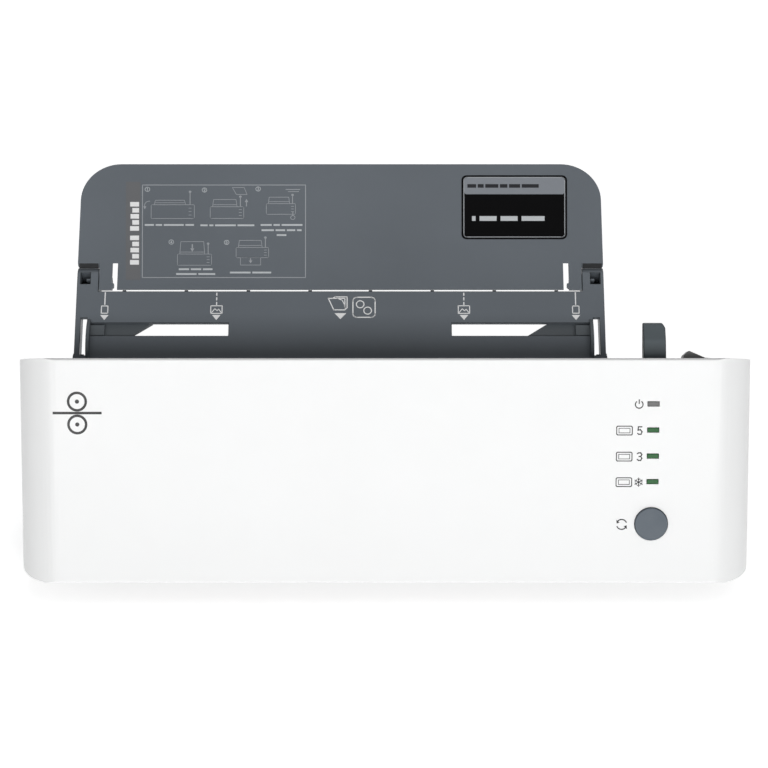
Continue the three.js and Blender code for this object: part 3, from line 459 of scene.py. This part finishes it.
CONTROL_X = BODY_W / 2 + 127
LED_DOWN = [21.9, 34.4, 46.9, 59.2]
BUTTON_DOWN = 79.6
ICON_RIGHT = CONTROL_X - 5
POUCH_LEFT = 8.6
NUMERAL_LEFT = 1.3
NUMERAL_HEIGHT = 3.6
INK_WIDTH = 0.55
PICTOGRAM = (29.3, -26, 22)
DIGITS = {
    1: [[(0.2, 0.8), (0.55, 1), (0.55, 0)]],
    2: [[(0, 0.8), (0.25, 1), (0.75, 1), (1, 0.75), (0.85, 0.5), (0, 0), (1, 0)]],
    3: [[(0, 0.9), (0.3, 1), (0.75, 1), (1, 0.77), (0.75, 0.54), (0.4, 0.52)],
        [(0.75, 0.54), (1, 0.28), (0.75, 0), (0.25, 0), (0, 0.12)]],
    4: [[(0.75, 0), (0.75, 1), (0, 0.3), (1, 0.3)]],
    5: [[(0.9, 1), (0.15, 1), (0.08, 0.55), (0.6, 0.62), (1, 0.34), (0.75, 0.02), (0.25, 0), (0, 0.12)]],
}


def digit(value, x, y, h, width):
    """A stroked numeral centred on x, y."""
    w = 0.58 * h
    lines = [[(x + (u - 0.5) * w, y + (v - 0.5) * h) for u, v in line] for line in DIGITS[value]]
    return [mark for line in lines for mark in polyline(line, width)]


def pouch_icon(x, y, w, h):
    """A pouch seen from above with its sheet inside."""
    return [*frame_lines(x - w / 2, y - h / 2, x + w / 2, y + h / 2, 0.45, 0.7),
            *frame_lines(x - w / 2 + 1.1, y - h / 2 + 1, x + w / 2 - 1.1, y + h / 2 - 1, 0.3)]


def power_icon(x, y, r):
    return [*arc(x, y, r, 125, 415, INK_WIDTH), stroke(x, y + 0.3 * r, x, y + 1.2 * r, INK_WIDTH)]


def cold_icon(x, y, r):
    """Six-armed frost star."""
    marks = []
    for arm in range(6):
        angle = math.radians(30 + 60 * arm)
        dx, dy = math.cos(angle), math.sin(angle)
        marks.append(stroke(x, y, x + r * dx, y + r * dy, 0.4))
        for turn in (-50, 50):
            bx, by = x + 0.55 * r * dx, y + 0.55 * r * dy
            tip = angle + math.radians(turn)
            marks.append(stroke(bx, by, bx + 0.38 * r * math.cos(tip), by + 0.38 * r * math.sin(tip), 0.3))
    return marks


def cycle_icon(x, y, r):
    """Two arrows chasing each other: step through the settings."""
    marks = []
    for start in (20, 200):
        marks += arc(x, y, r, start, start + 125, INK_WIDTH)
        tip = math.radians(start + 150)
        ahead = (x + r * math.cos(tip), y + r * math.sin(tip))
        root = math.radians(start + 118)
        inner = (x + 0.55 * r * math.cos(root), y + 0.55 * r * math.sin(root))
        outer = (x + 1.45 * r * math.cos(root), y + 1.45 * r * math.sin(root))
        marks.append([ahead, outer, inner])
    return marks


def roller_pictogram(x, y, w):
    """A generic sheet passing between two rollers."""
    r = w * 0.19
    away = r + 1.3
    line = 1.2
    marks = [stroke(x - w / 2, y, x + w / 2, y, line)]
    marks += arc(x, y + away, r, 0, 360, line, 36) + arc(x, y - away, r, 0, 360, line, 36)
    return [*marks, disc(x, y + away, 1), disc(x, y - away, 1)]


def pouch_setting(symbol, down):
    """A pouch icon with its numeral or star, left of a lamp."""
    return [*symbol, *pouch_icon(ICON_RIGHT - POUCH_LEFT, -down, 7.4, 4.2)]


def thickness(value, down):
    numeral = digit(value, ICON_RIGHT - NUMERAL_LEFT, -down, NUMERAL_HEIGHT, INK_WIDTH)
    return pouch_setting(numeral, down)


def face_marks():
    power_down, thick_down, thin_down, cold_down = LED_DOWN
    marks = power_icon(ICON_RIGHT - 1.8, -power_down, 1.8)
    marks += thickness(5, thick_down) + thickness(3, thin_down)
    marks += pouch_setting(cold_icon(ICON_RIGHT - 1.6, -cold_down, 2), cold_down)
    marks += cycle_icon(CONTROL_X - 14.4, -BUTTON_DOWN, 2.4)
    printed("control_icons", FACE, marks, BLACK_INK, "white_shell")
    printed("maker_pictogram", FACE, roller_pictogram(*PICTOGRAM), BLACK_INK, "white_shell")


# ---- marks on the tray ------------------------------------------------------------------

MARK_FOOT = 30.2
MARK_TOP = 36.4
PAGE_X = 116.7
PHOTO_X = 61.3
SIZE_ARROW = (23.1, 4.2, 2.7)
LABEL_MIDDLE = 22.2
LABEL_TOP = 95.7
LABEL_TAPER = 0.000254


def arrow_down(x, y, w, h):
    return [(x - w / 2, y + h / 2), (x + w / 2, y + h / 2), (x, y - h / 2)]


def tapered(outlines):
    """The label artwork draws in very slightly towards its foot."""
    def lean(x, y):
        return LABEL_MIDDLE + (x - LABEL_MIDDLE) * (1 - LABEL_TAPER * (LABEL_TOP - y)), y
    return [[lean(x, y) for x, y in outline] for outline in outlines]


def size_marks():
    """Lines where a sheet's edges lie, over a page or a picture glyph and an arrow."""
    marks = []
    for side in (-1, 1):
        x = side * PAGE_X
        marks += [stroke(x, MARK_FOOT, x, MARK_TOP, INK_WIDTH), arrow_down(x, *SIZE_ARROW)]
        marks += frame_lines(x - 1.6, 25.4, x + 1.6, 29.3, 0.45)
        x = side * PHOTO_X
        dashes = [MARK_FOOT - 0.1 + i * 2.5 for i in range(3)]
        marks += [stroke(x, foot, x, foot + 1.1, INK_WIDTH) for foot in dashes]
        marks += [arrow_down(x, *SIZE_ARROW), *frame_lines(x - 2.8, 25.3, x + 2.8, 29.4, 0.45)]
        hills = [(-2.3, 25.9), (-0.8, 27.8), (0.3, 26.7), (1.1, 27.6), (2.3, 25.9)]
        marks += polyline([(x + dx, y) for dx, y in hills], 0.4)
    return marks


def feed_icons():
    """A sheet over an arrow, then a rounded frame with two rollers in it."""
    page = [(-5.9, 33.4), (2.3, 33.4), (2.3, 27.2), (-3.2, 27.2)]
    fold = [(-3.8, 33.4), (-2.6, 34.2), (3.4, 34.2), (3.4, 28.4), (2.3, 27.2)]
    curl = [(-1.4, 33.4), (1, 32.4), (2.1, 30), (2.3, 27.8)]
    marks = [*polyline(page, 0.5, closed=True), *polyline(fold, 0.5), *polyline(curl, 0.4)]
    marks += [arrow_down(0.1, 23.8, 5.8, 3.2), *frame_lines(6.3, 23.2, 17.3, 34, INK_WIDTH, 2)]
    marks += [*arc(9.9, 30.2, 1.9, 0, 360, 0.5), *arc(13.6, 26.8, 1.9, 0, 360, 0.5)]
    return marks


def words(x, y, lengths, height=0.95, gap=0.9):
    """A row of plain bars in place of a line of text, centred on x."""
    left = x - (sum(lengths) + gap * (len(lengths) - 1)) / 2
    bars = []
    for length in lengths:
        bars.append(rectangle(left, y - height / 2, left + length, y + height / 2))
        left += length + gap
    return bars


SKETCH_LINE = 0.26


def machine_sketch(x0, y0, x1, y1, panel_top):
    """Line drawing of a laminator seen from the front, its feed panel standing up."""
    w = x1 - x0
    foot_l, foot_r, top_l, top_r = x0 + 0.07 * w, x0 + 0.8 * w, x0 + 0.1 * w, x0 + 0.77 * w
    panel = [(foot_l, y1), (top_l, panel_top), (top_r, panel_top), (foot_r, y1)]
    marks = frame_lines(x0, y0, x1, y1, SKETCH_LINE, 0.5) + polyline(panel, SKETCH_LINE)
    marks += [stroke(top_l, y1 + 1.1, top_r, y1 + 1.1, 0.24)]
    lever = x0 + 0.9 * w
    marks += [stroke(lever, y1, lever, y1 + 0.3 * w, 0.4), disc(lever, y1 + 0.33 * w, 0.65, 12)]
    for i in (1, 2, 3):
        lamp = y0 + i * (y1 - y0) / 4
        marks.append(stroke(lever - 0.6, lamp, lever + 0.6, lamp, SKETCH_LINE))
    return marks


def ringed(number, x, y):
    return [*arc(x, y, 1.2, 0, 360, SKETCH_LINE, 14), *digit(number, x, y, 1.3, 0.24)]


def open_tray_step():
    turn = arc(-96.8, 84.4, 2.3, 80, 200, 0.3, 10)
    return machine_sketch(-95.8, 77.1, -74, 84.7, 87.2) + turn + [arrow_down(-99, 83, 1.5, 1.6)]


def plug_in_step():
    sheet = [(-54.8, 94.3), (-48.9, 94.3), (-47.4, 90.4), (-52.8, 90.4)]
    arrow = [stroke(-47.7, 84, -47.7, 86.4, 0.4), [(-48.6, 86.2), (-46.8, 86.2), (-47.7, 87.9)]]
    machine = machine_sketch(-66, 77.1, -49.1, 83.6, 87.6)
    return machine + polyline(sheet, SKETCH_LINE, closed=True) + arrow


def choose_step():
    dial = [*arc(-24.3, 77.6, 1.1, 0, 360, 0.3, 14), stroke(-24.3, 78.8, -24.3, 80.8, 0.4)]
    levels = [stroke(-27.8, 93.2, -20.8, 93.2, 0.35), stroke(-26.6, 92, -21.4, 92, 0.3)]
    return machine_sketch(-37.7, 79.4, -23, 85.3, 88.9) + dial + levels


def insert_step():
    arrow = [stroke(-75, 60.6, -75, 62.6, 0.6), arrow_down(-75, 59.7, 2, 1.8)]
    return machine_sketch(-82.5, 51.4, -65.3, 57.5, 64.3) + arrow


def complete_step():
    pouch = frame_lines(-50.7, 51.5, -40.5, 55.5, SKETCH_LINE)
    arrow = [stroke(-45.6, 54, -45.6, 54.9, 0.5), arrow_down(-45.6, 53.2, 1.8, 1.5)]
    return machine_sketch(-52.9, 55.5, -36.5, 61.1, 65) + pouch + arrow


def step_sketches():
    first_row = open_tray_step() + plug_in_step() + choose_step()
    return first_row + insert_step() + complete_step()


STEP_NUMBERS = [(-97.7, 93.3), (-68.9, 92.9), (-41.8, 93.5), (-85.6, 64.1), (-57.7, 63.9)]
CAPTION_ROWS = [
    (-86.6, 73.5, (4.6, 3.2, 10, 4.3)), (-57.3, 73.3, (3.6, 2, 10.4, 8.5)),
    (-30, 73.5, (5.6, 3.2, 10.5)), (-30, 70.6, (6.2, 4.8, 4.2, 2.3)), (-30, 67.9, (4.9,)),
    (-73.3, 49.2, (5.2, 5.2, 4.8)), (-73.3, 46.6, (10.3, 8.5)), (-45.6, 47.4, (10.4, 9.5)),
]


def step_captions():
    """Ringed numerals, and rows of bars under the drawings."""
    marks = []
    for number, (x, y) in enumerate(STEP_NUMBERS, 1):
        marks += ringed(number, x, y)
    for row in CAPTION_ROWS:
        marks += words(*row)
    return marks


TITLE_RIGHT = -101.9
TITLE_STARTS = (51.7, 70.3)
BLOCK_HEIGHTS = (4.5, 3.4, 4.3, 3.4, 4.5)


def title_blocks():
    """Two upright words, each a run of plain blocks."""
    blocks = []
    for start in TITLE_STARTS:
        for i, height in enumerate(BLOCK_HEIGHTS):
            foot = start + i * 3.35
            blocks.append(rectangle(TITLE_RIGHT - height, foot, TITLE_RIGHT, foot + 2.5))
    return blocks


def service_label():
    """Black rounded label with a grey header, light rim and plain bars."""
    left, right, low, high = 60.8, 114.1, 65.6, 101.1
    fit = {"panel": FLAP, "slot": "black_plastic"}
    patch = tapered([rounded(left, low, right, high, 2.6)])
    printed("service_label", outlines=patch, material=LABEL_BLACK, low=0, high=0.12, **fit)
    header = tapered([rounded(left + 1.4, high - 10.6, right - 1.4, high - 1.2, 1.2)])
    printed("service_label_header", outlines=header, material=LABEL_GREY, low=0.1, high=0.16, **fit)
    title = tapered(words(left + 21, high - 6, (4.4, 3, 6.6, 3.8, 5.6, 8.6), 2, 0.8))
    printed("service_label_title", outlines=title, material=LABEL_DARK, low=0.15, high=0.2, **fit)
    rim = tapered(frame_lines(left + 1.2, low + 1.2, right - 1.2, high - 1.2, 0.4, 1.6))
    printed("service_label_rim", outlines=rim, material=FINE_INK, low=0.12, high=0.19, **fit)
    bars = tapered(words(left + 23.6, low + 11.4, (1.8, 8.6, 8.6, 11.6), 2.6, 2))
    printed("service_label_print", outlines=bars, material=CAPTION_INK, low=0.12, high=0.19, **fit)


RIB_X = (15, 45.7, 76.5, 107.3)
RIB_Y = (37.2, 37.95)
RIB_HALF_W = 0.9


def rib_caps():
    """Crowns of the small ribs that stand between the panel and the flap."""
    places = [side * x for side in (-1, 1) for x in RIB_X]
    crowns = [rectangle(x - RIB_HALF_W, RIB_Y[0], x + RIB_HALF_W, RIB_Y[1]) for x in places]
    printed("rib_crowns", TRAY, crowns, MATERIALS["black_plastic"], "tray_plastic", -2.2, -0.25)


# Painted shadow strips under the flap's shoulders.
SHOULDER_X = (120.8, 130.4)
SHOULDER_FRONT = 52.6
SHOULDER_NORMAL = (0, -2.5, 1.6)
SHADOW_STRIP_DEPTH = (0.2, 3.15)


def shoulder_painted_shadow():
    """Painted shadow: dark strips under the flap's sloping shoulders, where it rests against the arms, standing in
    for the shade in the gap there.
    """
    under = TRAY.matrix.to_3x3() @ Vector(SHOULDER_NORMAL)
    shoulder = Panel(TRAY.at(0, SHOULDER_FRONT), under, "flap_body")
    (x0, x1), (near, far) = SHOULDER_X, SHADOW_STRIP_DEPTH
    strips = [rectangle(x0, -far, x1, -near), rectangle(-x1, -far, -x0, -near)]
    printed("shoulder_painted_shadow", shoulder, strips, MATERIALS["black_plastic"], "black_plastic", -0.05, 0.08)


LABEL_FRAME = (-100.2, 44.7, -17.9, LABEL_TOP)
TITLE_BAND = (-108.5, 43.4, -101.2, 97.5)


def tray_marks():
    printed("size_marks", TRAY, size_marks(), WHITE_INK, "tray_plastic")
    printed("feed_icons", TRAY, feed_icons(), WHITE_INK, "tray_plastic")
    outline = tapered(frame_lines(*LABEL_FRAME, 0.4))
    printed("instruction_frame", FLAP, outline, FINE_INK, "tray_plastic")
    printed("instruction_sketches", FLAP, tapered(step_sketches()), FINE_INK, "tray_plastic")
    printed("instruction_captions", FLAP, tapered(step_captions()), CAPTION_INK, "tray_plastic")
    band = tapered([rectangle(*TITLE_BAND)])
    printed("title_band", FLAP, band, TITLE_INK, "tray_plastic")
    printed("title_blocks", FLAP, tapered(title_blocks()), WHITE_INK, "tray_plastic", 0.03, 0.09)
    service_label()


# ---- stage ----------------------------------------------------------------------------------

FLOOR_HALF = 12
FLOOR_GLOW = 0.7
SKY = 0.14


def add_floor():
    """Pale ground, a little bright in itself so that it stays white round the object."""
    made, tree, shader, place = node_tree("floor")
    colour = tint(tree, noise(tree, place, 3, 2), (0.93, 0.93, 0.93), (0.95, 0.95, 0.95))
    tree.links.new(colour, shader.inputs["Base Color"])
    tree.links.new(colour, shader.inputs["Emission Color"])
    shader.inputs["Emission Strength"].default_value = FLOOR_GLOW
    shader.inputs["Roughness"].default_value = 0.9
    mesh = bpy.data.meshes.new("floor")
    half = FLOOR_HALF
    corners = [(-half, -half, 0), (half, -half, 0), (half, half, 0), (-half, half, 0)]
    mesh.from_pydata(corners, [], [(0, 1, 2, 3)])
    mesh.materials.append(made)
    floor = bpy.data.objects.new("floor", mesh)
    bpy.context.scene.collection.objects.link(floor)


def add_light(name, place, size, power, target=(0, 0, 0.08)):
    data = bpy.data.lights.new(name, "AREA")
    data.shape = "RECTANGLE"
    data.size, data.size_y = size
    data.energy = power
    lamp = bpy.data.objects.new(name, data)
    lamp.location = place
    lamp.rotation_euler = (Vector(target) - Vector(place)).to_track_quat("-Z", "Y").to_euler()
    bpy.context.scene.collection.objects.link(lamp)


def add_lights():
    world = bpy.data.worlds.new("studio")
    world.use_nodes = True
    world.node_tree.nodes["Background"].inputs["Color"].default_value = (1, 1, 1, 1)
    world.node_tree.nodes["Background"].inputs["Strength"].default_value = SKY
    bpy.context.scene.world = world
    bpy.context.scene.view_settings.view_transform = "Standard"
    add_light("front", (0.15, -2.6, 0.7), (3.2, 0.8), 49, (0, 0, 0.1))
    add_light("rear", (0.4, 2.4, 1.3), (2.0, 1.2), 16)
    add_light("top", (0.2, 0.2, 2.4), (2.6, 2.2), 8)


add_camera()
add_floor()
add_lights()
rebuild_nodes()
face_marks()
tray_marks()
rib_caps()
shoulder_painted_shadow()
